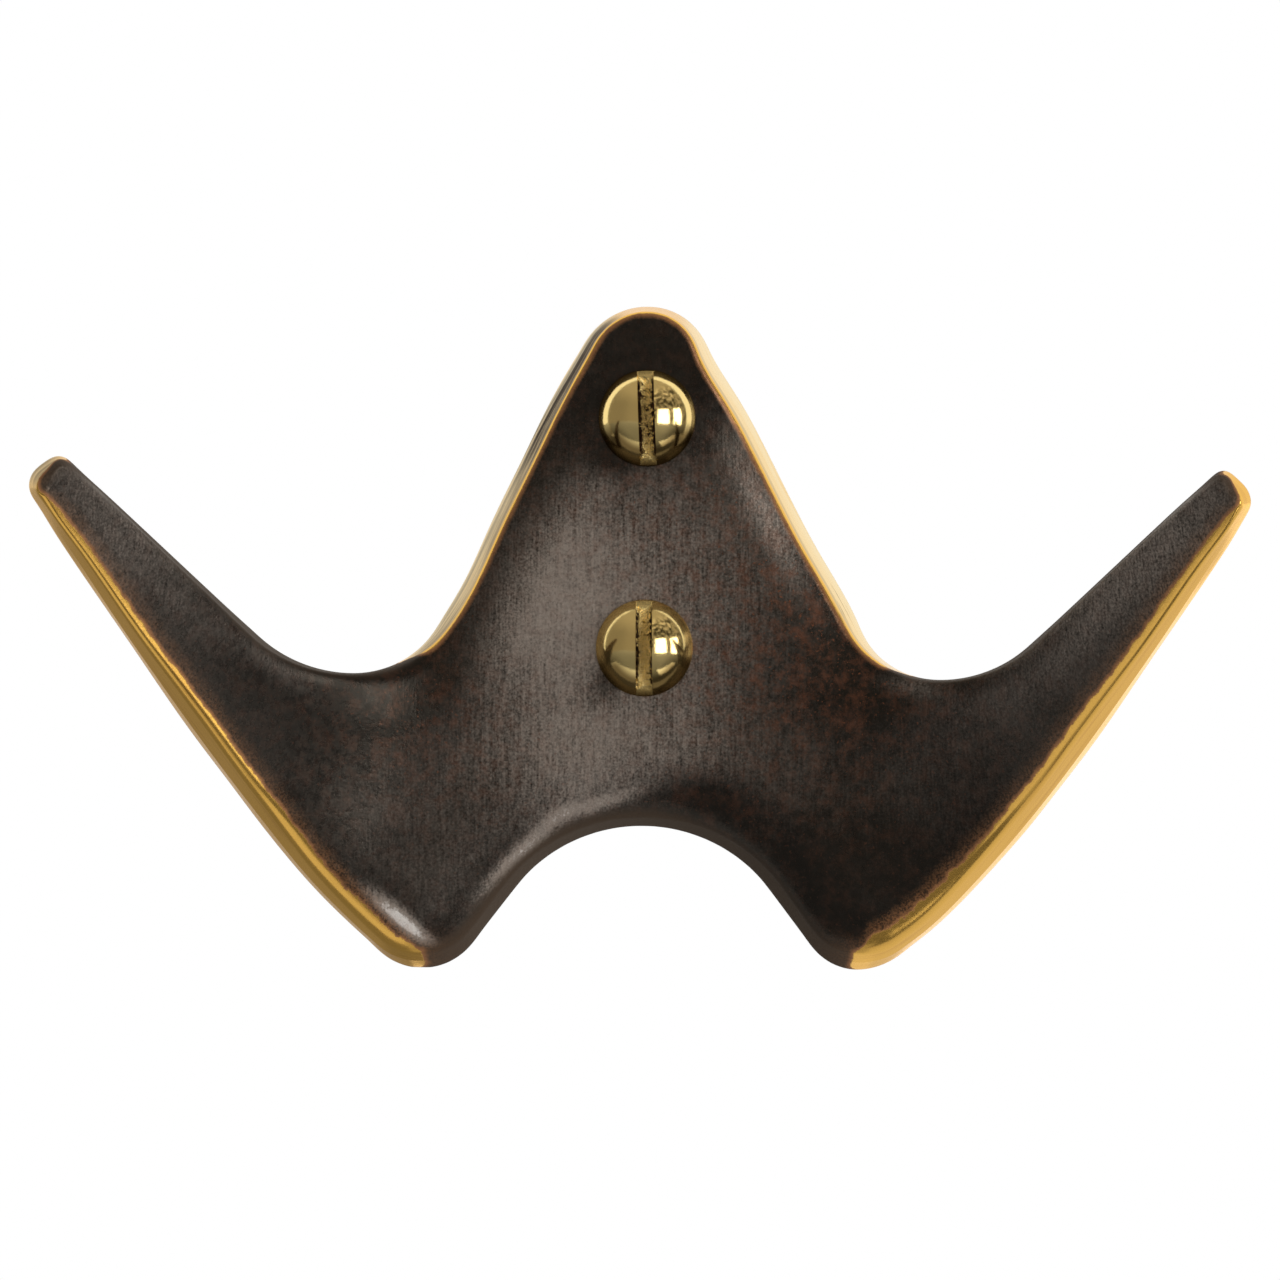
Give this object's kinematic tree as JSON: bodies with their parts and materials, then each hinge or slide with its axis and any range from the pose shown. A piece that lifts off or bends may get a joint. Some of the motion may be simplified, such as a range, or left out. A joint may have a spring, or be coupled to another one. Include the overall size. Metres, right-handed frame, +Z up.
{
  "type": "wall hook",
  "caption": "Cast brass wall hook in the form of a W: a rounded peak between horns that sweep forward, out and up, dark face with polished edges, fixed by slotted round-head screws.",
  "frame": {"origin": "on the wall plane, on the hook's centre line, midway between the screws", "axes": "+Z up the wall, +Y into the wall, +X to the right for someone facing the wall"},
  "size_m": [0.0978, 0.0551, 0.0553],
  "materials": {
    "patinated_brass": "dark brown patina with a satin brushed sheen, rubbed back to bright brass along the edges",
    "screw_brass": "polished"
  },
  "bodies": {
    "root": {"hook_body": "patinated_brass", "wall_screws": "screw_brass"}
  },
  "joints": []
}
